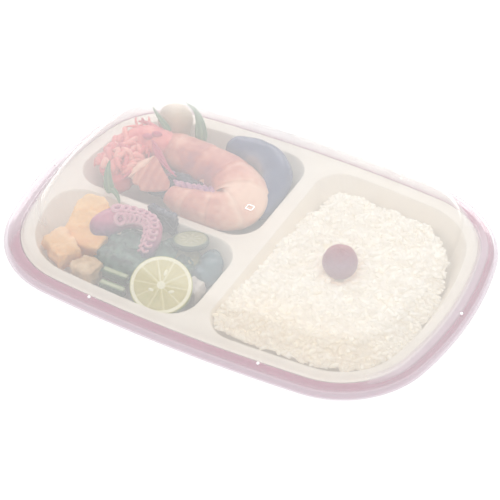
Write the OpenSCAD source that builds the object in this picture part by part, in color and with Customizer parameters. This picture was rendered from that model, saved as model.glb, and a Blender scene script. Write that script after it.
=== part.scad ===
// Oblong lunch box: an outer tray, a lift-out inner tray with three pockets of food, and a clear
// domed lid. X runs along the box, Y across it and Z up. The origin is the centre of the base.

/* [Container] */
// Half length of the deck edge
half_len = 115; // [114.5:0.1:116]
// Half width of the deck edge
half_wid = 77.8; // [77.4:0.1:78.6]
// Radius of the long sides
side_r = 859; // [800:10:1000]
// Radius of the ends
end_r = 188.6; // [180:0.2:200]
// Radius of the corners
corner_r = 43; // [42.6:0.2:44]
// Height of the deck above the base
rim_z = 21; // [21:0.5:23]
// Wall of the trays and the lid
wall = 0.8; // [0.7:0.05:0.9]

/* [Pockets] */
// Depth of the pockets
pocket_depth = 17; // [16.5:0.1:17]
// Deck left between the deck edge and the pockets
deck_w = 7.5; // [7.2:0.1:8]
// Left edge of the rice pocket
rice_x = 9.5; // [9:0.1:10]
// Right edge of the two small pockets
small_x = 0.8; // [0.4:0.1:1.2]
// Middle of the divider between the two small pockets
divider_y = -5.5; // [-5.7:0.1:-5.3]
// Width of that divider
divider_w = 5; // [4.6:0.1:5]

/* [Lid] */
// Height of the dome above the deck
dome_h = 20.2; // [20:0.1:21]
// Slope of the dome wall, as the inset at its top
dome_inset = 11; // [10.5:0.1:11.5]
// Width of the flange outside the deck edge
flange_w = 6.9; // [6.8:0.05:7]

/* [Hidden] */
$fn = 32;
edge_steps = 4;          // points along each side and end arc of a quarter of the outline
corner_steps = 12;       // points along each corner fillet
floor_z = rim_z - pocket_depth;
slice = 0.02;            // thickness of the sheets that a hull joins
soft_gap = 0.3;          // air between a food and the tray
rice_shift = -4;         // the rice heaps up towards the front
ume_pos = [52.5, -1.3, rim_z + 7.5];
ume_r = 9.2;
nib_r = 1;

// ---- outline of the box: long-side arc, corner fillet and end arc, mirrored four times ----
side_c = [0, half_wid - side_r];
end_c = [half_len - end_r, 0];
gap_v = end_c - side_c;
gap_len = norm(gap_v);
along = ((side_r - corner_r) ^ 2 - (end_r - corner_r) ^ 2 + gap_len ^ 2) / (2 * gap_len);
across = sqrt((side_r - corner_r) ^ 2 - along ^ 2);
gap_u = gap_v / gap_len;
corner_c = side_c + gap_u * along + [gap_u[1], -gap_u[0]] * across;
side_a = atan2(corner_c[1] - side_c[1], corner_c[0] - side_c[0]);
end_a = atan2(corner_c[1] - end_c[1], corner_c[0] - end_c[0]);

function arc(c, r, a0, a1, n) = [
  for (i = [0:n - 1]) let (a = a0 + (a1 - a0) * i / n) c + r * [cos(a), sin(a)]
];
function quarter(off) = concat(
  arc(end_c, end_r + off, 0, end_a, edge_steps),
  arc(corner_c, corner_r + off, end_a, side_a, corner_steps),
  arc(side_c, side_r + off, side_a, 90, edge_steps)
);
function reversed(list) = [for (i = [len(list) - 1:-1:0]) list[i]];
function tail(list) = [for (i = [1:len(list) - 1]) list[i]];
function scaled(list, s) = [for (p = list) [p[0] * s[0], p[1] * s[1]]];
// The outline moved outwards by off, anticlockwise from the +X end
function outline(off) =
  let (q = quarter(off), top = [[0, half_wid + off]])
  concat(
    q, top, reversed(scaled(q, [-1, 1])),
    tail(scaled(q, [-1, -1])), scaled(top, [1, -1]), reversed(tail(scaled(q, [1, -1])))
  );

// A solid whose wall follows the outline through [offset, height] stations, capped at both ends
module swept(stations) {
  n = len(outline(0));
  points = [for (s = stations) for (p = outline(s[0])) [p[0], p[1], s[1]]];
  last = len(stations) - 1;
  sides = [
    for (i = [0:last - 1]) for (j = [0:n - 1])
      let (k = (j + 1) % n)
      [i * n + j, (i + 1) * n + j, (i + 1) * n + k, i * n + k]
  ];
  caps = [[for (j = [0:n - 1]) j], [for (j = [n - 1:-1:0]) last * n + j]];
  polyhedron(points, concat(sides, caps), convexity = 8);
}

// ---- pockets ----
// Regions of the deck: [x from, x to, y from, y to]
far = 200;
RICE = [rice_x, far, -far, far];
BACK = [-far, small_x, divider_y + divider_w / 2, far];
FRONT = [-far, small_x, -far, divider_y - divider_w / 2];
POCKETS = [RICE, BACK, FRONT];
pocket_corner = 16;
lip_w = 0.7;              // flare of the pocket's lip
// How far the pocket wall leans in at a depth below the deck
function lean(depth) = lookup(depth, [
  [-1, 0], [0, 0], [1, 0.4], [pocket_depth - 3, 6.8], [pocket_depth, 9.5]
]);

module pocket_outline(r, inset) {
  offset(r = pocket_corner) offset(delta = -pocket_corner - inset) intersection() {
    polygon(outline(-deck_w));
    translate([r[0], r[2]]) square([r[1] - r[0], r[3] - r[2]]);
  }
}

module pocket_slice(r, depth, inset) {
  translate([0, 0, rim_z - depth]) linear_extrude(slice) pocket_outline(r, inset);
}

// The outside of a pocket's wall
module pocket_shell(r) {
  hull() {
    pocket_slice(r, wall, -wall);
    pocket_slice(r, pocket_depth - 3, lean(pocket_depth - 3) - wall);
    pocket_slice(r, pocket_depth + wall, lean(pocket_depth) - wall);
  }
}

// The inside of a pocket, with a flared lip at the deck
module pocket_hollow(r) {
  hull() {
    pocket_slice(r, -0.5, -lip_w);
    pocket_slice(r, lip_w, lean(lip_w));
  }
  hull() {
    pocket_slice(r, lip_w - slice, lean(lip_w));
    pocket_slice(r, pocket_depth - 3, lean(pocket_depth - 3));
    pocket_slice(r, pocket_depth, lean(pocket_depth));
  }
}

// ---- container ----
module outer_tray() {
  ledge_z = rim_z - wall - 0.15;
  color([0.47, 0.06, 0.17]) swept([
    [-24, 1], [-23, 1], [-22, 0], [-18, 0], [-15.8, 1.2], [-13.4, 3.6],
    [-3.2, rim_z - 2], [-2.4, rim_z - 1.5], [5.9, rim_z - 0.7],
    [6.6, rim_z - 3.4], [7.3, rim_z - 3.4], [6.7, rim_z - 0.1], [6.2, rim_z + 0.3],
    [5.6, rim_z + 0.4], [0.9, rim_z + 0.4], [0.4, rim_z], [0.4, ledge_z],
    [-3.2, ledge_z], [-4.1, rim_z - 1.9], [-14.2, 4.2], [-16.4, 2.3], [-18.4, 1.5],
    [-22, 1.5], [-24, 2]
  ]);
}

module inner_tray() {
  deck_z = rim_z - wall;
  color([0.93, 0.88, 0.80]) difference() {
    union() {
      hull() swept([[0, deck_z], [0, rim_z]]);
      for (r = POCKETS) pocket_shell(r);
    }
    for (r = POCKETS) pocket_hollow(r);
  }
}

module nib(x, y, z) {
  hull() translate([x, y, z]) sphere(nib_r, $fn = 14);
}

module lid() {
  flange_z = rim_z + 1.5;
  top_z = rim_z + dome_h;
  t = wall;
  color([0.95, 0.93, 0.97, 0.35]) union() {
    swept([
      [-38, top_z + 0.4 - t], [-dome_inset - 2.2, top_z - t], [-dome_inset - 0.6, top_z - 0.4 - t],
      [-dome_inset + 0.5, top_z - 1.5 - t], [-dome_inset + 1.3, top_z - 3.2 - t],
      [-1.7, rim_z + 2.9], [-1, flange_z - t + 0.5], [-0.2, flange_z - t],
      [flange_w, flange_z - t], [flange_w + 1.4, rim_z - 2.8], [flange_w + 2.2, rim_z - 2.8],
      [flange_w + 0.7, flange_z - 0.4], [flange_w, flange_z], [0.5, flange_z], [-0.2, flange_z + 0.4],
      [-0.9, flange_z + 1.6], [-dome_inset + 2.3, top_z - 3.6], [-dome_inset + 1.2, top_z - 1.6],
      [-dome_inset - 0.2, top_z - 0.4], [-dome_inset - 2, top_z], [-38, top_z + 0.4]
    ]);
    // gate mark in the middle of the dome
    translate([0, 0, top_z]) difference() {
      hull() cylinder(h = 0.9, r = 2.4);
      hull() translate([0, 0, 0.6]) cylinder(h = 1, r = 1.6);
    }
    // snap nibs on the flange
    for (x = [-48, 48], y = [-1, 1]) nib(x, y * (half_wid + 1.1), flange_z);
    for (x = [-1, 1]) nib(x * (half_len + 4.4), 0, flange_z);
  }
}

// ---- rice pocket ----
module rice_slice(depth, inset, shift = 0) {
  translate([0, shift, 0]) pocket_slice(RICE, depth, inset);
}

module rice_bed() {
  color([0.96, 0.93, 0.84]) difference() {
    hull() {
      for (d = [pocket_depth - slice, pocket_depth - 3, 8]) rice_slice(d, lean(d) + soft_gap);
      rice_slice(1, 10, rice_shift);
      rice_slice(-3.5, 19, rice_shift);
      rice_slice(-6, 29, rice_shift);
    }
    translate(ume_pos) sphere(ume_r + soft_gap, $fn = 48);
  }
}

module umeboshi() {
  color([0.46, 0.05, 0.12]) translate(ume_pos) sphere(ume_r, $fn = 48);
}

// ---- shapes that the foods share ----
// Balls of [x, y, height over the deck, radius] joined one to the next
module ball_chain(balls) {
  for (i = [0:len(balls) - 2]) hull() {
    for (b = [balls[i], balls[i + 1]]) translate([b[0], b[1], rim_z + b[2]]) sphere(b[3], $fn = 24);
  }
}

// An upright peg from the pocket floor, which the food above rests on
module peg(x, y, r, top) {
  translate([x, y, floor_z + slice]) cylinder(h = rim_z + top - floor_z - slice, r = r);
}

// A block: centre [x, y, height over the deck], size, turn about Z
module block(pos, size, turn = 0) {
  translate([pos[0], pos[1], rim_z + pos[2]]) rotate([0, 0, turn]) cube(size, center = true);
}

// A pointed leaf from its foot to its tip, each [x, y, height over the deck]
module spear(foot, tip, r) {
  hull() {
    translate([0, 0, rim_z] + foot) sphere(r, $fn = 16);
    translate([0, 0, rim_z] + tip) sphere(0.6, $fn = 16);
    translate([0, 0, rim_z] + (foot + tip) / 2) sphere(r, $fn = 16);
  }
}

// A round slice: centre, radius, thickness, turn about Z, tilt from level
module round_slice(pos, r, h, turn, tilt) {
  translate([0, 0, rim_z] + pos) rotate([0, 0, turn]) rotate([tilt, 0, 0])
    cylinder(h = h, r = r, center = true, $fn = 64);
}

// ---- back pocket ----
module prawn_body() {
  color([0.90, 0.42, 0.30]) union() {
    ball_chain([
      [-73, 35, 2, 7.5], [-56, 38, 1, 10], [-36, 36.5, 1, 11], [-18, 27, 0.5, 12],
      [-14, 13.5, 0.5, 10.5], [-27, 6.5, 1, 8], [-42, 5.5, 1, 6.5]
    ]);
    for (p = [[-54, 36], [-36, 34], [-20, 26]]) peg(p[0], p[1], 5, -4);
  }
}

module prawn_head() {
  color([0.82, 0.18, 0.14]) union() {
    ball_chain([[-92, 30, 1, 6.5], [-86, 42, 2, 7]]);
    peg(-86, 38, 4, 0);
  }
}

module prawn_legs() {
  color([0.85, 0.22, 0.17]) union() {
    ball_chain([[-90, 15, 0, 8], [-84, 9, 0, 8.6]]);
    peg(-84, 15.5, 4, -4);
  }
}

module prawn_tail() {
  color([0.92, 0.50, 0.36]) union() {
    hull() {
      translate([-67, 19, rim_z + 8]) sphere(2.5, $fn = 24);
      translate([-68, 5, rim_z + 2]) sphere(4, $fn = 24);
      translate([-54, 5.5, rim_z + 2]) sphere(4, $fn = 24);
    }
    peg(-64, 11.5, 3, 2);
  }
}

module kelp_roll() {
  color([0.22, 0.08, 0.17]) union() {
    ball_chain([[-55, 20, 0, 5.2], [-38, 18, -1, 4.4]]);
    peg(-50, 19.5, 3.5, -2);
  }
}

module taro() {
  color([0.80, 0.68, 0.52]) hull() {
    translate([-77, 55.5, rim_z + 8.6]) sphere(9.2, $fn = 32);
    peg(-72, 48.5, 3, 0);
  }
}

module snow_pea_left() { color([0.16, 0.34, 0.18]) spear([-74.5, 44.2, 12.6], [-87.5, 50.2, 17.2], 1.1); }
module snow_pea_right() { color([0.20, 0.40, 0.18]) spear([-60, 55, 3], [-69.5, 61, 17.8], 2.2); }

module aubergine_slice() {
  color([0.10, 0.10, 0.24]) union() {
    ball_chain([[-47, 57.5, -2, 6.8], [-25, 58.5, -1, 8.4], [-12.5, 50.5, -2, 8], [-10.5, 43, -5, 6]]);
    peg(-26, 54.5, 4, -8);
  }
}

module bamboo_leaf() { color([0.15, 0.36, 0.16]) spear([-79, -8.5, 3.5], [-86, 2.5, 13], 1.7); }

// ---- front pocket ----
module omelette_back() {
  color([0.93, 0.66, 0.22]) intersection() {
    translate([0, 0, rim_z - 9]) linear_extrude(30)
      polygon([[-88, -22], [-77, -17.5], [-75.5, -34], [-66, -38.5], [-66, -42.5], [-87, -43]]);
    translate([-78, -30, rim_z + 4 - 30]) rotate([18, 0, 0]) cube([60, 60, 60], center = true);
  }
}

module omelette_front() { color([0.94, 0.62, 0.24]) block([-78.4, -52.8, -2.6], [17.5, 12, 10], -30); }
module simmered_tofu() { color([0.82, 0.66, 0.44]) block([-61.5, -56.6, -5.6], [12.4, 11, 9.4], -8); }

module octopus_arm() {
  color([0.62, 0.16, 0.34]) ball_chain([
    [-66, -27, 1, 7], [-59, -19.5, 4, 4.6], [-49, -18, 4, 4.6], [-41, -22, 2.5, 4.8], [-38.5, -32, -1, 4.4]
  ]);
}

module kelp_sheet() { color([0.10, 0.13, 0.20]) block([-45.5, -10.9, 2.8], [15, 2.2, 8]); }

module wakame() {
  color([0.12, 0.28, 0.20]) union() {
    ball_chain([[-53, -30, -4, 6.5], [-52, -40, -4, 7], [-41, -43, -5, 5]]);
    peg(-52, -36, 4, -8);
  }
}

module cucumber_back() { color([0.42, 0.52, 0.26]) round_slice([-24.5, -18.6, 1.6], 9.2, 2.8, 29, -14); }
module cucumber_front() { color([0.30, 0.46, 0.28]) round_slice([-21.5, -26, -7], 8.2, 2.8, 10, 12); }

module aubergine_small() {
  color([0.12, 0.20, 0.26]) ball_chain([[-9, -23.6, -6, 3.8], [-8.8, -30.2, -6, 3.8]]);
}

module fish_cake() { color([0.72, 0.68, 0.62]) block([-7.8, -39, -7.5], [5, 9, 9]); }
module bean_back() { color([0.10, 0.26, 0.12]) block([-47.5, -55, -3.5], [14, 4, 5]); }
module bean_front() { color([0.12, 0.30, 0.13]) block([-45.5, -61.5, -6], [14, 4, 5]); }
module citrus_slice() { color([0.74, 0.76, 0.36]) round_slice([-20.5, -54, 2.5], 15.2, 5, 29, 25); }

outer_tray();
inner_tray();
lid();
rice_bed();
umeboshi();
prawn_body();
prawn_head();
prawn_legs();
prawn_tail();
kelp_roll();
taro();
snow_pea_left();
snow_pea_right();
aubergine_slice();
bamboo_leaf();
omelette_back();
omelette_front();
simmered_tofu();
octopus_arm();
kelp_sheet();
wakame();
cucumber_back();
cucumber_front();
aubergine_small();
fish_cake();
bean_back();
bean_front();
citrus_slice();
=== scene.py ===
import math

import bmesh
import bpy
import numpy as np
from mathutils import Matrix, Vector, noise


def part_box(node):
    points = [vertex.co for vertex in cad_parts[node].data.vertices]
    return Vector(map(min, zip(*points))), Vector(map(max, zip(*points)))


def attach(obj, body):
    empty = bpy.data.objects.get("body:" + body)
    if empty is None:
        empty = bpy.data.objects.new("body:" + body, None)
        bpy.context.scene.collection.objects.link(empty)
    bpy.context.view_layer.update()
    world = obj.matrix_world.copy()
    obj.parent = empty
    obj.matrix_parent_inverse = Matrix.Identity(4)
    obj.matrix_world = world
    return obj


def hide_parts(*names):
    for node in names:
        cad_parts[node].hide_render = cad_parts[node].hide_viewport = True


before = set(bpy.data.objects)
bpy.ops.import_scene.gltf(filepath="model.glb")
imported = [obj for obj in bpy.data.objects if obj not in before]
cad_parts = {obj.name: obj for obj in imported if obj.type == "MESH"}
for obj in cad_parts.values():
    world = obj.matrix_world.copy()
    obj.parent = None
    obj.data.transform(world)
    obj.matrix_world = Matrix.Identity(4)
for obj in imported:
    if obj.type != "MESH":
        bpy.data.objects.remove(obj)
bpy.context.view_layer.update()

# Meshes are made in millimetres in the row frame, and add_mesh turns them into metres.
# The floor, the camera, the lights and the bump distances are in metres.
MM = 0.001
RIM_Z = 21.0  # height of the inner tray's deck
SEED = 7
rng = np.random.default_rng(SEED)


# ---- materials
def rgb(r, g, b):
    """A linear colour."""
    return (r, g, b, 1.0)


def tint(*display):
    """A linear colour from display values of 0 to 255."""
    shares = [value / 255 for value in display]
    return rgb(*[c / 12.92 if c <= 0.04045 else ((c + 0.055) / 1.055) ** 2.4 for c in shares])


WHITE = rgb(1, 1, 1)


def fill(node, **sockets):
    """Sets a node's inputs by name, with _ for a space."""
    for key, value in sockets.items():
        node.inputs[key.replace("_", " ")].default_value = value
    return node


class Mat:
    """A node material round one Principled shader."""

    def __init__(self, name, roughness=0.5, **sockets):
        self.mat = bpy.data.materials.new(name)
        self.mat.use_nodes = True
        self.tree = self.mat.node_tree
        self.shader = fill(self.tree.nodes["Principled BSDF"], Roughness=roughness, **sockets)

    def node(self, kind, **sockets):
        return fill(self.tree.nodes.new(kind), **sockets)

    def link(self, a, b):
        self.tree.links.new(a, b)

    def put(self, socket, value):
        """Links an output to the socket, or sets a plain value on it."""
        if isinstance(value, bpy.types.NodeSocket):
            self.link(value, socket)
        else:
            socket.default_value = value

    def noise(self, scale, detail=3.0):
        """Noise over the piece's own coordinates, 0 to 1."""
        n = self.node("ShaderNodeTexNoise", Scale=scale, Detail=detail)
        self.link(self.node("ShaderNodeTexCoord").outputs["Object"], n.inputs["Vector"])
        return n.outputs["Fac"]

    def ramp(self, factor, stops):
        n = self.node("ShaderNodeValToRGB")
        band = n.color_ramp
        while len(band.elements) < len(stops):
            band.elements.new(0.5)
        for element, (place, colour) in zip(band.elements, stops):
            element.position = place
            element.color = colour
        self.link(factor, n.inputs["Fac"])
        return n.outputs["Color"]

    def attribute(self, name):
        n = self.node("ShaderNodeAttribute")
        n.attribute_name = name
        return n.outputs["Fac"]

    def math(self, operation, *values):
        n = self.node("ShaderNodeMath")
        n.operation = operation
        for socket, value in zip(n.inputs, values):
            self.put(socket, value)
        return n.outputs[0]

    def multiply(self, a, b):
        """The product of two colours."""
        n = self.node("ShaderNodeMix")
        n.data_type, n.blend_type = "RGBA", "MULTIPLY"
        factor, first, second = n.inputs[0], n.inputs[6], n.inputs[7]
        for socket, value in ((factor, 1.0), (first, a), (second, b)):
            self.put(socket, value)
        return n.outputs[2]

    def blend(self, factor, a, b):
        """Two shaders mixed."""
        n = self.node("ShaderNodeMixShader")
        for socket, value in zip(n.inputs, (factor, a, b)):
            self.link(value, socket)
        return n.outputs[0]

    def base(self, colour):
        self.link(colour, self.shader.inputs["Base Color"])

    def bump(self, height, distance, strength=1.0):
        n = self.node("ShaderNodeBump", Strength=strength, Distance=distance)
        self.link(height, n.inputs["Height"])
        self.link(n.outputs["Normal"], self.shader.inputs["Normal"])


def mottled(name, dark, light, scale, roughness=0.5, bump=0.0, **sockets):
    """Two colours mixed by noise, with a fine bump from the same noise."""
    m = Mat(name, roughness, **sockets)
    field = m.noise(scale)
    m.base(m.ramp(field, [(0.35, dark), (0.65, light)]))
    if bump:
        m.bump(field, bump)
    return m.mat


def banded(name, stops, scale, mottle, roughness, bump=0.0003):
    """(place, r, g, b) display colours along the mesh's "tone" values, broken up by noise."""
    m = Mat(name, roughness)
    field = m.noise(scale)
    tone = m.math("MULTIPLY_ADD", field, mottle, m.attribute("tone"))
    colours = [(place, tint(*colour)) for place, *colour in stops]
    m.base(m.ramp(m.math("SUBTRACT", tone, mottle / 2), colours))
    m.bump(field, bump)
    return m.mat


# ---- meshes
def add_mesh(name, verts, faces, material, body="inner_tray", slot=None, replaces=(), tone=None):
    """A mesh piece from points in millimetres in the row frame."""
    mesh = bpy.data.meshes.new(name)
    points = np.asarray(verts, float) * MM
    mesh.from_pydata([tuple(p) for p in points], [], [tuple(int(i) for i in f) for f in faces])
    mesh.update()
    if tone is not None:
        layer = mesh.attributes.new("tone", "FLOAT", "POINT")
        layer.data.foreach_set("value", np.asarray(tone, np.float32))
    mesh.polygons.foreach_set("use_smooth", [True] * len(mesh.polygons))
    mesh.materials.append(material)
    piece = bpy.data.objects.new(name, mesh)
    bpy.context.scene.collection.objects.link(piece)
    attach(piece, body)
    if replaces:
        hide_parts(*replaces)
    return piece


class Heap:
    """Several closed parts gathered into one mesh."""

    def __init__(self, *mesh):
        self.verts, self.faces, self.tones, self.count = [], [], [], 0
        if mesh:
            self.add(*mesh)

    def add(self, verts, faces, tone=0.0):
        verts = np.asarray(verts, float)
        self.verts.append(verts)
        self.faces.extend([tuple(i + self.count for i in f) for f in faces])
        self.tones.append(np.broadcast_to(np.asarray(tone, float), (len(verts),)))
        self.count += len(verts)

    def limb(self, rows, tone=0.0, **options):
        """A round-ended tube along [x, y, z, radius] rows."""
        self.add(*capped(rows, **options), tone)

    def ball(self, centre, radii, tone=0.0, **options):
        self.add(*ball(centre, radii, **options), tone)

    def piece(self, name, material, slot, **options):
        verts, tones = np.concatenate(self.verts), np.concatenate(self.tones)
        return add_mesh(name, verts, self.faces, material, slot=slot, tone=tones, **options)


def spline(points, n):
    """n points on a smooth curve through the given ones, with any extra columns carried along."""
    p = np.asarray(points, float)
    p = np.vstack([2 * p[0] - p[1], p, 2 * p[-1] - p[-2]])
    spans = len(p) - 3
    out = []
    for t in np.linspace(0, spans - 1e-6, n):
        i, u = int(t), t - int(t)
        a, b, c, d = p[i : i + 4]
        bend, twist = 2 * a - 5 * b + 4 * c - d, 3 * b - a - 3 * c + d
        out.append(0.5 * (2 * b + (c - a) * u + bend * u**2 + twist * u**3))
    return np.array(out)


def ring_faces(rows, cols):
    """Quads between neighbouring closed rings of cols points."""
    faces = []
    for i in range(rows - 1):
        low, high = i * cols, (i + 1) * cols
        for j in range(cols):
            k = (j + 1) % cols
            faces.append((low + j, low + k, high + k, high + j))
    return faces


def tube(path, radii, sides=20, flat=1.0, up=(0, 0, 1), profile=None, wobble=0.0):
    """A closed tube round a path. flat squeezes it along the second cross direction."""
    path = np.asarray(path, float)
    n = len(path)
    radii = np.broadcast_to(np.asarray(radii, float), (n,))
    tangents = np.gradient(path, axis=0)
    tangents /= np.linalg.norm(tangents, axis=1)[:, None] + 1e-9
    up = np.asarray(up, float)
    verts = []
    angles = np.linspace(0, 2 * math.pi, sides, endpoint=False)
    for i in range(n):
        side = np.cross(tangents[i], up)
        side /= np.linalg.norm(side) + 1e-9
        top = np.cross(side, tangents[i])
        for a in angles:
            r = radii[i] * (profile(i / (n - 1), a) if profile else 1.0)
            if wobble:
                q = path[i] * 0.25 + np.array([math.cos(a), math.sin(a), 0])
                r += wobble * noise.noise(Vector(q))
            verts.append(path[i] + side * math.cos(a) * r + top * math.sin(a) * r * flat)
    faces = [tuple(reversed(f)) for f in ring_faces(n, sides)]
    first, last = len(verts), len(verts) + 1
    verts.append(path[0])
    verts.append(path[-1])
    for j in range(sides):
        k = (j + 1) % sides
        faces.append((first, j, k))
        faces.append((last, (n - 1) * sides + k, (n - 1) * sides + j))
    return np.array(verts), faces


def capped(path, n=24, end=0.12, **options):
    """A tube along a smooth path whose radii come with the points and whose ends are rounded off."""
    line = spline(path, n)
    t = np.linspace(0, 1, n)
    near = np.minimum(t, 1 - t) / end
    round_off = np.sqrt(np.clip(1 - (1 - np.clip(near, 0, 1)) ** 2, 0.0025, 1))
    return tube(line[:, :3], line[:, 3] * round_off, **options)


def rough(spot):
    """Three octaves of noise at a point, about -1 to 1."""
    return noise.fractal(Vector(spot), 1.0, 2.0, 3)


def ball(centre, radii, rows=24, cols=36, bumps=0.0, scale=0.3, seed=0, turn=None):
    """An ellipsoid with noise on it."""
    centre = np.asarray(centre, float)
    radii = np.broadcast_to(np.asarray(radii, float), (3,))
    verts = []
    for i in range(rows + 1):
        theta = math.pi * i / rows
        for j in range(cols):
            phi = 2 * math.pi * j / cols
            d = np.array([math.sin(theta) * math.cos(phi), math.sin(theta) * math.sin(phi), math.cos(theta)])
            p = d * radii
            if bumps:
                p = p + d * bumps * rough(Vector(p * scale) + Vector((seed, seed * 2, 0)))
            if turn is not None:
                p = np.array(turn @ Vector(p))
            verts.append(centre + p)
    return np.array(verts), [tuple(reversed(f)) for f in ring_faces(rows + 1, cols)]


# ---- outline of the box
HALF_LEN, HALF_WID = 115.0, 77.8
SIDE_R, END_R, CORNER_R = 859.0, 188.6, 43.0  # arcs of the long side, the end and the corner


def quarter_arcs():
    """Centres of the three arcs of a quarter of the outline, and the angles where they meet."""
    side = np.array([0, HALF_WID - SIDE_R])
    end = np.array([HALF_LEN - END_R, 0])
    gap = end - side
    length = np.linalg.norm(gap)
    along = ((SIDE_R - CORNER_R) ** 2 - (END_R - CORNER_R) ** 2 + length**2) / (2 * length)
    across = math.sqrt((SIDE_R - CORNER_R) ** 2 - along**2)
    u = gap / length
    corner = side + u * along + np.array([u[1], -u[0]]) * across
    side_a, end_a = (math.atan2(*(corner - c)[::-1]) for c in (side, end))
    return side, end, corner, side_a, end_a


SIDE_C, END_C, CORNER_C, SIDE_A, END_A = quarter_arcs()


def outline(off):
    """Points anticlockwise on the deck's outline moved outwards by off."""
    rows = [
        (END_C, END_R, 0, END_A, 12),
        (CORNER_C, CORNER_R, END_A, SIDE_A, 28),
        (SIDE_C, SIDE_R, SIDE_A, math.pi / 2, 20),
    ]
    q = []
    for c, r, a0, a1, n in rows:
        for i in range(n):
            a = a0 + (a1 - a0) * i / n
            q.append((c[0] + (r + off) * math.cos(a), c[1] + (r + off) * math.sin(a)))
    q = np.array(q)
    top = np.array([[0, HALF_WID + off]])
    return np.concatenate(
        [q, top, q[::-1] * [-1, 1], q[1:] * [-1, -1], top * [1, -1], (q[1:] * [1, -1])[::-1]]
    )


def fillet(stations, radius, steps=3):
    """The [offset, height] line with its corners rounded."""
    s = [np.array(p, float) for p in stations]
    out = [s[0]]
    for a, b, c in zip(s, s[1:], s[2:]):
        before, after = np.linalg.norm(a - b), np.linalg.norm(c - b)
        r = min(radius, before * 0.45, after * 0.45)
        p, q = b + (a - b) / (before + 1e-9) * r, b + (c - b) / (after + 1e-9) * r
        for t in np.linspace(0, 1, steps + 1):
            out.append((1 - t) ** 2 * p + 2 * t * (1 - t) * b + t**2 * q)
    out.append(s[-1])
    return out


def swept(stations, tones=None):
    """A wall along the outline through [offset, height] stations, closed at both ends."""
    rings = [np.column_stack([outline(o), np.full(len(outline(o)), z)]) for o, z in stations]
    n = len(rings[0])
    faces = ring_faces(len(stations), n)
    faces.append(tuple(range(n))[::-1])
    faces.append(tuple((len(stations) - 1) * n + j for j in range(n)))
    tone = np.repeat(tones, n) if tones is not None else 0.0
    return np.concatenate(rings), faces, tone


# ---- camera
LENS, SENSOR, DISTANCE = 148.75, 36.0, 1.06405
AZIMUTH, ELEVATION, LOOK_DOWN = math.radians(28.95), math.radians(42.08), 0.0063
level = math.cos(ELEVATION)
back = Vector((math.sin(AZIMUTH) * level, -math.cos(AZIMUTH) * level, math.sin(ELEVATION)))
camera = bpy.data.objects.new("camera", bpy.data.cameras.new("camera"))
bpy.context.scene.collection.objects.link(camera)
bpy.context.scene.camera = camera
camera.data.lens = LENS
camera.data.sensor_width = SENSOR
camera.rotation_mode = "QUATERNION"
camera.rotation_quaternion = (-back).to_track_quat("-Z", "Y")
camera_up = camera.rotation_quaternion @ Vector((0, 1, 0))
camera.location = Vector((0, 0, RIM_Z * MM)) + back * DISTANCE - camera_up * LOOK_DOWN
camera.data.clip_start, camera.data.clip_end = 0.05, 20

# ---- floor and light
floor_mat = mottled(
    "floor_white", rgb(0.06, 0.06, 0.06), rgb(0.08, 0.08, 0.08), 3, roughness=0.9,
    Emission_Color=WHITE, Emission_Strength=1.0,
)
floor = bpy.data.meshes.new("floor")
FLOOR_HALF, FLOOR_Z = 4, -0.0003  # metres
floor_corners = [(x * FLOOR_HALF, y * FLOOR_HALF, FLOOR_Z) for x, y in ((-1, -1), (1, -1), (1, 1), (-1, 1))]
floor.from_pydata(floor_corners, [], [(0, 1, 2, 3)])
floor.materials.append(floor_mat)
floor_object = bpy.data.objects.new("floor", floor)
bpy.context.scene.collection.objects.link(floor_object)


def area_light(name, place, size, power, diffuse=True, glossy=True):
    """A soft light that looks at the box and can be left out of diffuse or glossy light."""
    data = bpy.data.lights.new(name, "AREA")
    data.shape = "RECTANGLE"
    data.size, data.size_y = size
    data.energy = power
    lamp = bpy.data.objects.new(name, data)
    bpy.context.scene.collection.objects.link(lamp)
    lamp.location = place
    lamp.rotation_mode = "QUATERNION"
    lamp.rotation_quaternion = (-Vector(place)).to_track_quat("-Z", "Y")
    lamp.visible_diffuse, lamp.visible_glossy = diffuse, glossy


STRIP_PLACE, STRIP_SIZE = (-0.38, 0.74, 0.40), (1.3, 0.30)
area_light("strip_shine", STRIP_PLACE, STRIP_SIZE, 4.6, diffuse=False)
area_light("strip_fill", STRIP_PLACE, STRIP_SIZE, 3.0, glossy=False)
area_light("softbox_top", (0.1, 0.0, 1.6), (1.4, 1.4), 15.6, glossy=False)
world = bpy.data.worlds.new("studio")
bpy.context.scene.world = world
world.use_nodes = True
fill(world.node_tree.nodes["Background"], Color=WHITE, Strength=0.62)
bpy.context.scene.view_settings.view_transform = "Standard"

# ---- trays and lid
maroon = Mat("maroon_plastic", 0.28)
maroon_field = maroon.noise(180)
maroon.base(maroon.ramp(maroon_field, [(0.3, rgb(0.40, 0.09, 0.19)), (0.7, rgb(0.46, 0.115, 0.225))]))
maroon.bump(maroon_field, 0.00002)

ivory = Mat("ivory_plastic", 0.35)
ivory_field = ivory.noise(90)
ivory.base(ivory.ramp(ivory_field, [(0.3, rgb(0.855, 0.78, 0.685)), (0.7, rgb(0.895, 0.83, 0.745))]))
bevel = ivory.node("ShaderNodeBevel", Radius=0.0008)
ivory.link(bevel.outputs["Normal"], ivory.shader.inputs["Normal"])

tray_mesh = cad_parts["inner_tray"].data
tray_mesh.materials.clear()
tray_mesh.materials.append(ivory.mat)

HAZE, HAZE_SPREAD = 0.2, 0.01  # milky share of each face of the lid
# the tone carries the skirt's haze and also the painted highlight and glare on the fold and the flange ends
SKIRT_HAZE = 0.38  # more of it where the tone is 1
FACE_GLOSS, EDGE_GLOSS, EDGE_POWER = 0.045, 0.35, 4.0


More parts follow.
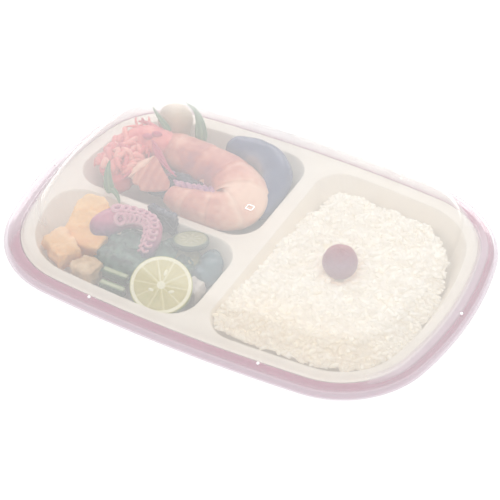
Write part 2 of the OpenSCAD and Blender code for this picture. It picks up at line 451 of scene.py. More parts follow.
def clear_plastic():
    """See-through, mixed with milk by the mesh's tone, under a gloss that grows towards the edges. Where the
    tone is high, the lilac milk is partly painted glare.
    """
    m = Mat("clear_plastic")
    m.tree.nodes.remove(m.shader)
    tone = m.attribute("tone")
    see = m.node("ShaderNodeBsdfTransparent")
    m.link(m.ramp(tone, [(0.1, WHITE), (1.0, rgb(0.94, 0.91, 0.935))]), see.inputs["Color"])
    milk = m.node("ShaderNodeBsdfDiffuse")
    m.link(m.ramp(tone, [(0.1, WHITE), (1.0, rgb(0.93, 0.84, 0.89))]), milk.inputs["Color"])
    gloss = m.node("ShaderNodeBsdfGlossy", Roughness=0.10, Color=WHITE)
    span = m.node("ShaderNodeMapRange", To_Min=HAZE - HAZE_SPREAD, To_Max=HAZE + HAZE_SPREAD)
    m.link(m.noise(40, 2.0), span.inputs["Value"])
    haze = m.math("MULTIPLY_ADD", tone, SKIRT_HAZE, span.outputs["Result"])
    body = m.blend(haze, see.outputs[0], milk.outputs[0])
    facing = m.node("ShaderNodeLayerWeight", Blend=0.5).outputs["Facing"]
    share = m.math("MULTIPLY_ADD", m.math("POWER", facing, EDGE_POWER), EDGE_GLOSS, FACE_GLOSS)
    surface = m.blend(share, body, gloss.outputs[0])
    m.link(surface, m.tree.nodes["Material Output"].inputs["Surface"])
    return m.mat


LEDGE_Z = RIM_Z - 0.95
# outer tray: [offset from the deck's outline, height], out along the underside and back along the inside
tray_stations = [
    (-24, 1), (-23, 1), (-22, 0), (-18, 0), (-15.8, 1.2), (-13.4, 3.6), (-3.2, RIM_Z - 2),
    (-2.4, RIM_Z - 1.5), (5.9, RIM_Z - 1.3), (6.6, RIM_Z - 3.8), (7.3, RIM_Z - 3.8), (6.7, RIM_Z - 0.9),
    (6.2, RIM_Z - 0.45), (5.6, RIM_Z - 0.3), (2.9, RIM_Z + 0.35), (0.9, RIM_Z + 0.4), (0.4, RIM_Z),
    (0.4, LEDGE_Z), (-3.2, LEDGE_Z), (-4.1, RIM_Z - 1.9), (-14.2, 4.2), (-16.4, 2.3), (-18.4, 1.5),
    (-22, 1.5), (-24, 2),
]
heap = Heap(*swept(fillet(tray_stations, 0.8)))
heap.piece("outer_tray_shell", maroon.mat, "maroon_plastic", body="outer_tray", replaces=("outer_tray",))

WALL, DOME_INSET, FLANGE_W = 0.8, 11.0, 6.9
DISH = 0.8  # how far the flange falls outwards
TOP_Z, FLANGE_Z = RIM_Z + 20.2, RIM_Z + 1.5
LID_UNDER = FLANGE_Z - WALL
DOME_UNDER = TOP_Z - WALL
# lid: out along the underside of the dome and the flange, and back along the top
lid_stations = [
    (-38, DOME_UNDER + 0.4), (-DOME_INSET - 2.2, DOME_UNDER), (-DOME_INSET - 0.6, DOME_UNDER - 0.4),
    (-DOME_INSET + 0.5, DOME_UNDER - 1.5), (-DOME_INSET + 1.3, DOME_UNDER - 3.2), (-1.7, RIM_Z + 2.9),
    (-1, LID_UNDER + 0.5), (-0.2, LID_UNDER), (2.9, LID_UNDER - 0.05), (FLANGE_W, LID_UNDER - DISH),
    (FLANGE_W + 1.4, RIM_Z - 2.8), (FLANGE_W + 2.2, RIM_Z - 2.8), (FLANGE_W + 0.7, FLANGE_Z - 0.4 - DISH),
    (FLANGE_W, FLANGE_Z - DISH), (2.9, FLANGE_Z - 0.05), (0.5, FLANGE_Z), (-0.2, FLANGE_Z + 0.4),
    (-0.9, FLANGE_Z + 1.6), (-DOME_INSET + 2.3, TOP_Z - 3.6), (-DOME_INSET + 1.2, TOP_Z - 1.6),
    (-DOME_INSET - 0.2, TOP_Z - 0.4), (-DOME_INSET - 2, TOP_Z), (-38, TOP_Z + 0.4),
]


def frosting(off, z):
    """Tone of the lid at a station: milkier on the skirt, partly as painted glare, and where the dome meets
    the flange.
    """
    skirt = np.clip((off - FLANGE_W + 0.6) / 1.0, 0, 1)
    foot = np.exp(-(((off + 1.6) / 1.3) ** 2)) * (z < RIM_Z + 7)
    return float(0.85 * skirt + 0.12 * foot)


def ramp_up(values, start, width):
    """0 up to start, then rising to 1 over width."""
    return np.clip((values - start) / width, 0, 1)


line = fillet(lid_stations, 1.2, 4)
verts, faces, tone = swept(line, [frosting(*p) for p in line])
# a painted highlight: a soft streak of milk on the fold at the left end only
fold = np.exp(-(((verts[:, 2] - TOP_Z + 1.6) / 1.2) ** 2)) * ramp_up(-verts[:, 0], 70, 25)
tone = tone + 0.28 * fold * (verts[:, 1] < 20)
# painted glare: the flange is milkier at the two ends, all of it at the left, its inner edge at the right,
# where the lights' reflections fall
off = np.repeat([p[0] for p in line], len(verts) // len(line))
flange = (verts[:, 2] < FLANGE_Z + 0.9) * (off > -1.5)
tone = tone + 0.55 * flange * ramp_up(-verts[:, 0], 104, 9) * (off < FLANGE_W)
tone = tone + 0.6 * flange * ramp_up(verts[:, 0], 96, 14) * ramp_up(-off, -4.2, 1.0)
lid_mat = clear_plastic()
add_mesh("lid_shell", verts, faces, lid_mat, body="lid", slot="clear_plastic", replaces=("lid",), tone=tone)
# the marks are milky and glow by their emission: a painted glint
milky = mottled(
    "milky_glint_plastic", rgb(0.95, 0.95, 0.97), WHITE, 90, roughness=0.2,
    Emission_Color=WHITE, Emission_Strength=0.25,
)
heap = Heap()
# gate mark: a small square frame in the middle of the dome
MARK_R, MARK_WIRE = 2.5, 0.26
angles = [math.radians(45 + 90 * turn) for turn in range(5)]
corners = [np.array([MARK_R * math.cos(a), MARK_R * math.sin(a), TOP_Z + 0.5]) for a in angles]
for a, b in zip(corners, corners[1:]):
    heap.limb([[*a, MARK_WIRE], [*((a + b) / 2), MARK_WIRE], [*b, MARK_WIRE]], n=10, sides=10)
NIB_R = 0.8
for x, y in ((-48, 78.9), (48, 78.9), (-48, -78.9), (48, -78.9), (-119.4, 0), (119.4, 0)):
    heap.ball((x, y, FLANGE_Z - 0.1), NIB_R, rows=12, cols=16)
heap.piece("lid_marks", milky, "clear_plastic", body="lid")


# ---- shared food helpers
def over(x, y, h):
    """A point h above the deck."""
    return np.array([x, y, RIM_Z + h])


def over_all(rows):
    """[x, y, height over the deck, radius] rows with the height made absolute."""
    rows = np.array(rows, float)
    rows[:, 2] += RIM_Z
    return rows


def softened(node, voxel=0.6, smooth=6, bumps=0.0, scale=0.3, seed=0, tone=None):
    """A CAD node, or (points, faces), with rounded edges and noise on it, in millimetres."""
    if isinstance(node, str):
        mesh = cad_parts[node].data.copy()
    else:
        mesh = bpy.data.meshes.new("work")
        mesh.from_pydata([tuple(c * MM for c in p) for p in node[0]], [], node[1])
    work = bpy.data.objects.new("work", mesh)
    bpy.context.scene.collection.objects.link(work)
    remesh = work.modifiers.new("remesh", "REMESH")
    remesh.mode = "VOXEL"
    remesh.voxel_size = voxel * MM
    graph = bpy.context.evaluated_depsgraph_get()
    mesh = bpy.data.meshes.new_from_object(work.evaluated_get(graph))
    bm = bmesh.new()
    bm.from_mesh(mesh)
    for _ in range(smooth):
        bmesh.ops.smooth_vert(
            bm, verts=bm.verts, factor=0.5, use_axis_x=True, use_axis_y=True, use_axis_z=True
        )
    bm.normal_update()
    bm.verts.index_update()
    verts = np.array([v.co for v in bm.verts]) / MM
    normals = np.array([v.normal for v in bm.verts])
    faces = [tuple(v.index for v in f.verts) for f in bm.faces]
    bm.free()
    bpy.data.objects.remove(work)
    bpy.data.meshes.remove(mesh)
    if bumps:
        for i, p in enumerate(verts):
            verts[i] = p + normals[i] * bumps * rough(Vector(p * scale) + Vector((seed, 0, seed)))
    return verts, faces, (np.array([tone(p) for p in verts]) if tone else 0.0)


def prism(corners, low, top):
    """An upright block over corners whose top follows top(x, y)."""
    n = len(corners)
    verts = [(x, y, low) for x, y in corners] + [(x, y, top(x, y)) for x, y in corners]
    faces = [tuple(range(n))[::-1], tuple(range(n, 2 * n))]
    faces += [(j, (j + 1) % n, n + (j + 1) % n, n + j) for j in range(n)]
    return verts, faces


def soft_piece(node, material, slot, shift=(0, 0, 0), swell=1.0, **options):
    """The softened CAD node as a piece, moved by shift and scaled by swell."""
    verts, faces, tone = softened(node, **options)
    centre = (verts.max(0) + verts.min(0)) / 2
    verts = centre + (verts - centre) * swell + np.array(shift, float)
    return Heap(verts, faces, tone).piece("soft_" + node, material, slot, replaces=(node,))


def torus(centre, normal, major, minor, rows=18, cols=10):
    """A ring round normal."""
    normal = Vector(normal).normalized()
    turn = normal.to_track_quat("Z", "Y")
    verts = []
    for i in range(rows):
        a = 2 * math.pi * i / rows
        for j in range(cols):
            b = 2 * math.pi * j / cols
            r = major + minor * math.cos(b)
            p = Vector((r * math.cos(a), r * math.sin(a), minor * math.sin(b)))
            verts.append(np.array(centre) + np.array(turn @ p))
    faces = []
    for i in range(rows):
        for j in range(cols):
            k, m = (i + 1) % rows, (j + 1) % cols
            faces.append((i * cols + j, k * cols + j, k * cols + m, i * cols + m))
    return np.array(verts), faces


def edge_distance(points, inset):
    """Distance inwards from the outline moved in by inset, for each point."""
    ring = outline(-inset)
    after = np.roll(ring, -1, axis=0)
    d = after - ring
    n = np.column_stack([-d[:, 1], d[:, 0]])
    n /= np.linalg.norm(n, axis=1)[:, None] + 1e-12
    return ((points[:, None, :] - ring[None]) * n[None]).sum(2).min(1)


DECK_W, RICE_X, POCKET_CORNER = 7.5, 9.5, 16.0  # deck's width, rice pocket's left side, corner radius


def rice_depth(points):
    """Distance inwards from the rice pocket's lip, with its corners rounded."""
    left = points[:, 0] - RICE_X
    rim = edge_distance(points, DECK_W)
    short = np.hypot(np.clip(POCKET_CORNER - left, 0, None), np.clip(POCKET_CORNER - rim, 0, None))
    return np.minimum(np.minimum(left, rim), POCKET_CORNER - short)


# ---- rice and umeboshi
ume_lo, ume_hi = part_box("umeboshi")
ume_centre = np.array((ume_lo + ume_hi) / 2) / MM
ume_radius = (ume_hi.x - ume_lo.x) / 2 / MM


def noise_map(points, scale, layer, field=noise.noise):
    """The field at each (x, y) times scale, at a height of its own."""
    return np.array([field(Vector((p[0] * scale, p[1] * scale, layer))) for p in points])


def heap_depth(points):
    """Distance inwards from the ragged edge of the heap."""
    x, y = points.T
    away = 6.5 * ramp_up(y, 5, 45) + 3.5 * ramp_up(x, 70, 30) * ramp_up(y, -40, 50)
    return rice_depth(points) - away + 2.6 * noise_map(points, 0.11, 7.7)


def rice_height(points):
    """Height of the rice over the deck: low along the back and the sides, up to the lip in front."""
    depth = heap_depth(points)
    front = ramp_up(-points[:, 1], 20, 45)
    edge = -11.0 + 9.5 * front
    top = 4.6 + 1.0 * np.sin(points[:, 0] * 0.09) * np.cos(points[:, 1] * 0.07)
    share = np.clip(depth / (26 - 9 * front), 0, 1)
    share = 1 - (1 - share) ** 2.2
    height = edge + (top - edge) * share
    gap = np.linalg.norm(points - ume_centre[:2], axis=1)
    lumps = 3.3 * noise_map(points, 0.085, 3.3, rough) + 1.5 * noise_map(points, 0.24, 1.1)
    clumps = lumps * np.clip(depth / 8, 0, 1)
    return height + clumps - 2.2 * np.exp(-((gap / 9.5) ** 2))


# the rice glows by its emission: painted light that brightens it
rice_mat = Mat(
    "rice", 0.42, Emission_Color=rgb(1.0, 0.96, 0.88), Emission_Strength=0.13,
    Subsurface_Weight=0.75, Subsurface_Radius=(1.0, 0.95, 0.85), Subsurface_Scale=0.005,
)
rice_tone = rice_mat.noise(260, 2)
rice_plain = rice_mat.ramp(rice_tone, [(0.3, tint(246, 234, 214)), (0.7, tint(253, 246, 232))])
# low tones are painted shade, browner towards the front; high tones are the plum's real stain
PLAIN = 0.3  # tone of a grain that nothing stains: lower is browner, higher is stained by the plum
plum_stain = rice_mat.ramp(rice_mat.attribute("tone"), [
    (0.0, tint(252, 234, 198)), (PLAIN, WHITE), (0.65, tint(255, 230, 212)), (1.0, tint(245, 196, 186)),
])
rice_mat.base(rice_mat.multiply(rice_plain, plum_stain))

# a sheet under the grains, so that no gap shows between them
STEP = 1.5
gx, gy = np.meshgrid(np.arange(RICE_X, 106, STEP), np.arange(-70, 70.1, STEP), indexing="ij")
flat = np.column_stack([gx.ravel(), gy.ravel()])
cells = gx.shape
bed_verts = np.column_stack([flat, RIM_Z + rice_height(flat) - 0.35])
keep = (heap_depth(flat) > 1.2).reshape(cells)
bed_faces = []
for i in range(cells[0] - 1):
    for j in range(cells[1] - 1):
        if keep[i, j] and keep[i + 1, j] and keep[i, j + 1] and keep[i + 1, j + 1]:
            a = i * cells[1] + j
            bed_faces.append((a, a + cells[1], a + cells[1] + 1, a + 1))
used = sorted({i for f in bed_faces for i in f})
renumber = {old: new for new, old in enumerate(used)}
heap = Heap(bed_verts[used], [tuple(renumber[i] for i in f) for f in bed_faces], PLAIN)

GRAINS, GRAIN_LEN, GRAIN_WID = 4000, 3.0, 1.4
grain, grain_faces = ball((0, 0, 0), (GRAIN_WID, GRAIN_WID * 0.86, GRAIN_LEN), 6, 7)
count = 0
while count < GRAINS:
    x, y = rng.uniform(RICE_X + 1, 105), rng.uniform(-68, 68)
    p = np.array([[x, y]])
    depth = heap_depth(p)[0]
    gap = np.linalg.norm(p[0] - ume_centre[:2])
    if depth < 1.6 or rice_depth(p)[0] < 2.6 or gap < ume_radius * 0.72:
        continue
    z = rice_height(p)[0] + rng.uniform(-0.5, 0.2)
    tilt = Vector((rng.normal(), rng.normal(), rng.normal() * 0.26)).normalized()
    turn = tilt.to_track_quat("Z", "Y")
    size = rng.uniform(0.82, 1.12)
    bend = rng.uniform(-0.08, 0.08)
    placed = grain * size
    placed[:, 0] += bend * placed[:, 2] ** 2
    placed = np.array([turn @ Vector(q) for q in placed])
    plum = 0.6 * np.clip(1.25 - gap / 11.5, 0, 1) * rng.uniform(0.5, 1)
    # painted shade: grains towards the front are browner
    brown = 0.15 * ramp_up(-y, 30, 22) * rng.uniform(0.7, 1)
    heap.add(placed + over(x, y, z), grain_faces, PLAIN + plum - brown)
    count += 1
heap.piece("rice_grains", rice_mat.mat, "rice", replaces=("rice_bed",))

# low tones, mauve-grey, are painted shade and reflection on the front and bottom; high tones, red, the lit
# top and back
plum_stops = [(0.0, 150, 112, 132), (0.45, 148, 72, 92), (1.0, 176, 52, 60)]
plum_mat = banded("pickled_plum", plum_stops, 230, mottle=0.3, roughness=0.3)
verts, faces = ball(ume_centre, ume_radius * np.array([1.0, 1.0, 0.97]), 56, 72)
for i, p in enumerate(verts):
    d = (p - ume_centre) / ume_radius
    crease = abs(math.sin(2.6 * math.atan2(d[1], d[0]) + 3 * d[2] + 1.5 * noise.noise(Vector(d * 2))))
    dimple = math.exp(-((d[0] - 0.1) ** 2 + (d[1] + 0.15) ** 2) * 9) * (d[2] > 0)
    grow = -0.35 * (1 - crease) ** 2 - 0.9 * dimple + 0.25 * rough(d * 3.5)
    verts[i] = p + d * grow
# painted light and shade: red on the top and back, mauve-grey towards the front and bottom
rise = (verts - ume_centre) @ np.array([-0.3, 0.55, 0.78]) / ume_radius
heap = Heap(verts, faces, np.clip(0.12 + 0.62 * rise, 0, 1))
heap.piece("umeboshi_wrinkled", plum_mat, "pickled_plum", replaces=("umeboshi",))

# ---- prawn
prawn_stops = [
    (0.0, 178, 108, 112), (0.22, 200, 116, 104), (0.45, 220, 146, 124), (0.7, 236, 178, 154),
    (1.0, 248, 208, 184),
]
prawn_mat = banded("prawn_shell", prawn_stops, 210, mottle=0.45, roughness=0.38)
prawn_red_stops = [(0.0, 198, 76, 110), (0.35, 227, 110, 114), (0.7, 241, 140, 132), (1.0, 248, 178, 164)]
prawn_red = banded("prawn_red", prawn_red_stops, 420, mottle=0.3, roughness=0.4)

BODY = over_all([
    [-81, 37.5, 3.0, 7.8], [-67, 38.5, 3.4, 11.0], [-52, 37, 2.6, 12.6], [-36, 34.5, 1.8, 13.8],
    [-22.5, 28, 1.6, 15.0], [-17, 18.5, 1.6, 13.8], [-20.5, 10.8, 1.6, 11.8], [-31, 7.2, 1.6, 10.2],
    [-42, 6.2, 1.8, 8.6], [-52.5, 7, 2.4, 5.4],
])
SEGMENTS, RINGS, SIDES = 8, 150, 48
line = spline(BODY, RINGS)
centre_xy = np.array([-40.0, 21.0])  # middle of the curl


def bell(value, middle, width):
    """1 at the middle, falling off smoothly on both sides."""
    return math.exp(-(((value - middle) / width) ** 2))


def shell_radius(t, a):
    """Each segment grows a little backwards and ends in a fine groove."""
    s = (t * SEGMENTS) % 1.0
    return 1.0 + 0.045 * (s**1.5) - 0.02 * bell(s, 0.02, 0.06) + 0.02 * math.sin(5 * a + 9 * t)


verts, faces = tube(line[:, :3], line[:, 3], sides=SIDES, flat=0.80, profile=shell_radius, wobble=0.35)
tones = []
for i in range(RINGS):
    t = i / (RINGS - 1)
    s = (t * SEGMENTS) % 1.0
    outward = line[i, :2] - centre_xy
    outward /= np.linalg.norm(outward)
    band = 0.12 * bell(s, 0.10, 0.14) - 0.09 * bell(s, 0.8, 0.2)
    along = 0.58 * bell(t, 0.56, 0.12) - 0.12 * bell(t, 0.3, 0.1)
    for j in range(SIDES):
        v = verts[i * SIDES + j] - line[i, :3]
        v = v / (np.linalg.norm(v) + 1e-9)
        facing = v[0] * outward[0] + v[1] * outward[1]
        spot = Vector(verts[i * SIDES + j])
        patch = 0.18 * noise.noise(spot * 0.13) + 0.13 * noise.noise(spot * 0.34)
        # the inner side, facing the curl's hole, is darkened as painted shade
        tones.append(0.44 + band + along + patch - 0.42 * max(0, -facing - 0.15) * (t < 0.62))
tones += [0.5, 0.5]
heap = Heap(verts, faces, np.array(tones))
# side plates, one per segment, that hang over the inner side
for k in range(1, SEGMENTS):
    i = min(int((k + 0.5) / SEGMENTS * RINGS), RINGS - 1)
    p, r = line[i, :3], line[i, 3]
    inner = np.array([centre_xy[0] - p[0], centre_xy[1] - p[1], 0])
    inner /= np.linalg.norm(inner)
    plate = p + inner * r * 0.58 + np.array([0, 0, -r * 0.10])
    ahead = line[min(i + 4, RINGS - 1), :3] - line[max(i - 4, 0), :3]
    angle = math.atan2(ahead[1], ahead[0])
    turn = Matrix.Rotation(angle, 3, "Z") @ Matrix.Rotation(0.35, 3, "X")
    heap.ball(plate, (r * 0.46, r * 0.56, r * 0.52), 0.62, rows=16, cols=22, bumps=0.5, seed=k, turn=turn)
heap.piece("prawn_abdomen", prawn_mat, "prawn_meat", replaces=("prawn_body",))

# head: carapace with a toothed rostrum, eyes and feelers
rows = over_all([[-66, 34, 3, 9.0], [-76, 37.5, 3.2, 10.4], [-86, 37.5, 3, 9.2], [-95, 31, 2.4, 5.6]])
v, f = capped(rows, n=40, sides=36, wobble=0.9)
patches = np.array([rough(p * 0.2) for p in v])
# tone rises with height: painted light on the top of the head
heap = Heap(v, f, np.clip((v[:, 2] - RIM_Z) * 0.035 + 0.10 + 0.35 * patches, 0, 1))
rows = over_all([[-72, 37, 9.5, 1.8], [-80, 42, 10.5, 1.6], [-88, 45, 10, 1.2], [-95, 45.5, 8.5, 0.6]])
heap.limb(rows, 0.25, sides=10)
TEETH, FEELERS, LEGS, LONG_FEELERS = 6, 70, 150, 4
for k in range(TEETH):
    q = np.array([-74 - 3.3 * k, 39 + 1.1 * k, RIM_Z + 11])
    heap.limb([[*q, 0.9], [*(q + np.array([-1.3, 0.3, 1.6])), 0.35]], 0.15, n=8, sides=8)
for side in (-1, 1):
    heap.ball(over(-88 + side * 1.5, 41 + side * 4.5, 7.5), 1.9, -0.3, rows=14, cols=18)
for k in range(FEELERS):
    a = rng.uniform(0, 2 * math.pi)
    start = over(-87 + 7 * math.cos(a), 37 + 9 * math.sin(a), rng.uniform(1, 7))
    bend = np.array([rng.normal() * 4, rng.normal() * 4, rng.uniform(-1, 3.5)])
    tip = start + bend * 1.7 + np.array([0, 0, -2.0])
    tip[0] = max(tip[0], -99)
    heap.limb([[*start, 0.9], [*(start + bend), 0.7], [*tip, 0.35]], rng.uniform(0.1, 0.9), n=10, sides=7)
for spot in ((-76.5, 35.5, 13.6), (-80.5, 32.5, 12.6)):
    heap.ball(over(*spot), (2.9, 1.7, 1.6), -0.6, rows=14, cols=20, turn=Matrix.Rotation(0.3, 3, "Z"))
for k in range(LONG_FEELERS):
    start = over(-78 + 1.5 * k, 32 - 2.0 * k, 11.5)
    bend = over(-70 + 1.8 * k, 26.5 - 2.2 * k, 12.5 - k)
    tip = over(-60 + 2.2 * k, 20.5 - 1.2 * k, 6.5)
    heap.limb([[*start, 0.7], [*bend, 0.65], [*tip, 0.35]], 0.02, n=26, sides=8)
heap.piece("prawn_carapace", prawn_red, "prawn_shell", replaces=("prawn_head",))

# legs: folded, jointed walking legs over a dark core
heap = Heap()
for core in ([-90, 16, -1.5], [-85, 10, -1.5], [-88, 24, -1]):
    heap.ball(over(*core), (8.5, 8.5, 7.2), 0.3, rows=20, cols=28, bumps=1.6, scale=0.22, seed=core[1])
for k in range(LEGS):
    x, y = rng.uniform(-97.5, -78), rng.uniform(3.5, 32)  # inside an ellipse, or no leg
    if (x + 89) ** 2 / 110 + (y - 18) ** 2 / 240 > 1:
        continue
    start = over(x, y, rng.uniform(3, 7.5))
    heading = rng.normal(math.pi * 0.55, 0.7)
    reach = rng.uniform(4, 8)
    knee = start + np.array([math.cos(heading) * reach, math.sin(heading) * reach, rng.uniform(0, 2.6)])
    foot = knee + np.array([rng.normal() * 3, rng.normal() * 3 - 1, -rng.uniform(1, 4)])
    for q in (knee, foot):
        q[0] = np.clip(q[0], -99, -74)
        q[1] = np.clip(q[1], 1.5, 45)
    heap.limb([[*start, 1.7], [*knee, 1.4], [*foot, 0.6]], rng.uniform(0.15, 1.0), n=12, sides=8)
heap.piece("prawn_walking_legs", prawn_red, "prawn_shell", replaces=("prawn_legs",))

# tail fan: plates that rise from the hinge to one point
heap = Heap()
apex = over(-68.8, 20.2, 12.8)
plates = [
    (over(-60, 4.4, 2.8), 8.2, 0.30, (0.25, -0.55, 1.0)),
    (over(-67.5, 4.0, 3.4), 6.2, 0.42, (0.1, -0.55, 1.0)),
    (over(-74.0, 6.6, 3.4), 5.4, 1.05, (-0.15, -0.5, 1.0)),
    (over(-78.0, 11.0, 3.6), 3.6, 0.80, (-0.35, -0.4, 1.0)),
]
for k, (root, width, shade, normal) in enumerate(plates):
    tip = apex + np.array([-0.6, -0.3, -0.5]) * k
    half_way = (root + tip) / 2 + np.array([0, 0, 1.0])
    quarter = (root + half_way) / 2
    rows = [[*root, width * 0.9], [*quarter, width], [*half_way, width * 0.66], [*tip, 0.7]]
    v, f = capped(rows, n=34, sides=22, flat=0.15, up=normal, end=0.10)
    heap.add(v, f, shade + 0.1 * np.sin(v[:, 0] * 1.6))
point = apex + np.array([-0.2, -0.5, 0.3])
heap.limb([[*over(-77, 5.5, 5.0), 0.6], [*over(-71.5, 13, 9.6), 0.7], [*point, 0.5]], 0.85, n=20, sides=10)
heap.piece("prawn_tail_fan", prawn_mat, "prawn_meat", replaces=("prawn_tail",))

# ---- back pocket
kelp_mat = Mat("kelp", 0.3)
kelp_field = kelp_mat.noise(240)
kelp_mat.base(kelp_mat.ramp(kelp_field, [(0.3, tint(24, 30, 48)), (0.7, tint(56, 62, 86))]))
kelp_mat.bump(kelp_field, 0.0005, 0.7)
swimmer_mat = mottled(
    "prawn_swimmerets", tint(150, 92, 140), tint(205, 146, 168), 380, roughness=0.4, bump=0.0003
)

heap = Heap()
rows = over_all([[-60, 19.5, 0, 3.2], [-54, 20, 0.5, 5.4], [-45, 19, 0, 5.6], [-35, 17.5, -1, 4.2]])
heap.limb(rows, n=40, sides=26, wobble=1.2)
rows = over_all([[-78, 22, -4, 5], [-68, 17, -4, 6], [-56, 17, -3, 7], [-42, 17, -3, 6.5], [-32, 17, -4, 5]])
heap.limb(rows, n=60, sides=30, wobble=1.6)
heap.piece("kelp_roll_folded", kelp_mat.mat, "kelp", replaces=("kelp_roll",))


def swimmeret(root, reach, lift, radius):
    """A short flat limb from root to root + reach, bowed by lift."""
    bow = root + np.array(reach) / 2 + np.array(lift)
    tip = root + np.array(reach)
    heap.limb([[*root, radius], [*bow, radius + 0.4], [*tip, 0.7]], n=16, sides=10, flat=0.45)


heap = Heap()
for t in np.linspace(0, 1, 7):
    root = over(-28 - 20 * t, 13.5 - 1.2 * t, 4.6 - 1.5 * t)
    swimmeret(root, (-7.5, 6.5 - 2 * t, 1.2), (0.8, -0.6, 1.3), 1.3)
for t in np.linspace(0, 1, 5):
    swimmeret(over(-33 - 25 * t, 22.5 + 0.6 * t, 3.6), (-4.5, -6.5, -1.0), (0.5, 0.4, 1.0), 1.2)
heap.piece("prawn_swimmerets", swimmer_mat, "prawn_shell")

taro_mat = mottled("taro", tint(166, 140, 112), tint(202, 178, 148), 60, roughness=0.6, bump=0.0002)
soft_piece("taro", taro_mat, "taro", swell=1.05, voxel=0.5, smooth=4, bumps=0.35, scale=0.18)

leaf_stops = [(0.0, 70, 104, 74), (0.5, 98, 132, 92), (0.8, 132, 158, 112), (1.0, 176, 192, 148)]
leaf_mat = banded("green_leaf", leaf_stops, 300, mottle=0.25, roughness=0.35, bump=0.0002)


def blade(heap, foot, tip, width, lean, up, thick=0.16):
    """A pointed leaf from foot to tip, bowed by lean, its rib paler than its edges."""
    foot, tip = over(*foot), over(*tip)
    n, sides = 36, 20
    t = np.linspace(0, 1, n)
    line = foot + np.outer(t, tip - foot) + np.outer(np.sin(math.pi * t), lean)
    half = width * np.minimum(1, (t + 0.05) * 4) ** 0.5 * (1 - t) ** 0.62 + 0.06
    v, f = tube(line, half, sides=sides, flat=thick, up=up)
    across = np.array([abs(math.cos(2 * math.pi * j / sides)) for j in range(sides)])
    tones = np.concatenate([np.tile(0.75 - 0.55 * np.sin(math.pi * across), n), [0.5, 0.5]])
    heap.add(v, f, tones)


leaves = [
    ("leaf_left", "snow_pea_left", [
        ((-72.6, 42.5, 12.0), (-88.5, 50.6, 17.8), 2.1, (0.2, -0.3, -0.4), (0.5, -0.8, 0.5)),
    ]),
    ("leaves_right", "snow_pea_right", [
        ((-58, 51.0, 3.0), (-69.5, 61.5, 17.8), 3.6, (1.6, 0.6, 1.6), (0.6, -0.8, 0.1), 0.22),
        ((-61.5, 52.5, 4.0), (-75, 62.5, 17.6), 2.5, (3.6, 1.2, 3.6), (0.2, -0.9, 0.3), 0.2),
    ]),
    ("leaf_front", "bamboo_leaf", [
        ((-79.2, -8.2, 3.6), (-86.5, 4.0, 14.5), 3.2, (-1.0, -0.8, 0.6), (0.7, -0.7, 0.3)),
        ((-80.5, -6.0, 5.2), (-70.5, -13.0, 3.0), 1.9, (0.6, 0.6, 0.9), (0.3, -0.5, 0.9)),
    ]),
]
for name, node, blades in leaves:
    heap = Heap()
    for row in blades:
        blade(heap, *row)
    heap.piece(name, leaf_mat, "green_leaf", replaces=(node,))

aubergine_stops = [(0.0, 50, 62, 102), (0.45, 80, 94, 134), (0.75, 122, 130, 158), (1.0, 172, 162, 168)]
aubergine_mat = banded("aubergine", aubergine_stops, 120, mottle=0.25, roughness=0.22, bump=0.0002)
rows = over_all([
    [-47, 58, -0.5, 6.4], [-34, 60.2, 0.5, 8.0], [-21, 58, 0.8, 8.8], [-11.5, 50.5, 0, 8.6],
    [-8.2, 40.5, -1.2, 7.6], [-7.6, 30, -2.6, 6.8], [-8.6, 20, -4.4, 5.4],
])
v, f = capped(rows, n=70, sides=40, wobble=0.3, end=0.08)
patches = np.array([noise.noise(Vector(p * 0.12)) for p in v])
cut_face = ramp_up(np.linalg.norm(v[:, :2] - np.array([-30.0, 38.0]), axis=1), 10, 22)
heap = Heap(v, f, np.clip(0.25 + 0.75 * np.exp(-(((cut_face - 0.12) / 0.16) ** 2)) + 0.2 * patches, 0, 1))
heap.piece("aubergine_fried", aubergine_mat, "aubergine", replaces=("aubergine_slice",))

# ---- front pocket
omelette_stops = [(0.0, 226, 140, 58), (0.4, 242, 170, 82), (0.75, 248, 194, 118), (1.0, 252, 214, 156)]
omelette_mat = banded("omelette", omelette_stops, 150, mottle=0.4, roughness=0.5, bump=0.0005)


def layers(period, phase, along):
    """Tone of thin cooked layers, dark at each fold, and paler higher up as painted light."""
    along = np.array(along, float)

    def tone(p):
        s = (float(p @ along) / period + phase + 0.15 * noise.noise(Vector(p * 0.4))) % 1.0
        return 0.58 - 0.22 * bell(s, 0.5, 0.14) + 0.04 * (p[2] - RIM_Z)

    return tone


wedge = prism(
    [(-89, -24), (-86, -19), (-77, -16.5), (-70, -22), (-64.5, -36), (-65, -45), (-78, -46), (-87.5, -42)],
    RIM_Z - 9,
    lambda x, y: RIM_Z + 4.6 + 0.34 * (y + 30) - 0.05 * (x + 77),
)
wedge_layers = layers(5.5, 0.2, (0.35, -0.7, 0.62))
heap = Heap(*softened(wedge, voxel=0.5, smooth=12, bumps=1.1, scale=0.16, tone=wedge_layers))
heap.piece("omelette_wedge", omelette_mat, "omelette", replaces=("omelette_back",))
omelette_pink_stops = [
    (0.0, 232, 150, 80), (0.4, 246, 182, 112), (0.75, 250, 204, 148), (1.0, 252, 222, 184),
]
omelette_pink = banded("omelette_front", omelette_pink_stops, 150, mottle=0.4, roughness=0.5, bump=0.0005)
soft_piece(
    "omelette_front", omelette_pink, "omelette", shift=(-3.2, 0.6, 0.4), swell=1.14,
    voxel=0.45, smooth=26, bumps=1.5, scale=0.18, seed=3, tone=layers(6.5, 0.1, (0.1, -0.5, 0.85)),
)
tofu_mat = mottled(
    "simmered_tofu", tint(206, 168, 122), tint(238, 208, 168), 130, roughness=0.55, bump=0.0006
)
soft_piece(
    "simmered_tofu", tofu_mat, "simmered_tofu", shift=(-2.0, 0, 0), swell=1.12,
    voxel=0.45, smooth=22, bumps=1.1, scale=0.22, seed=5,
)

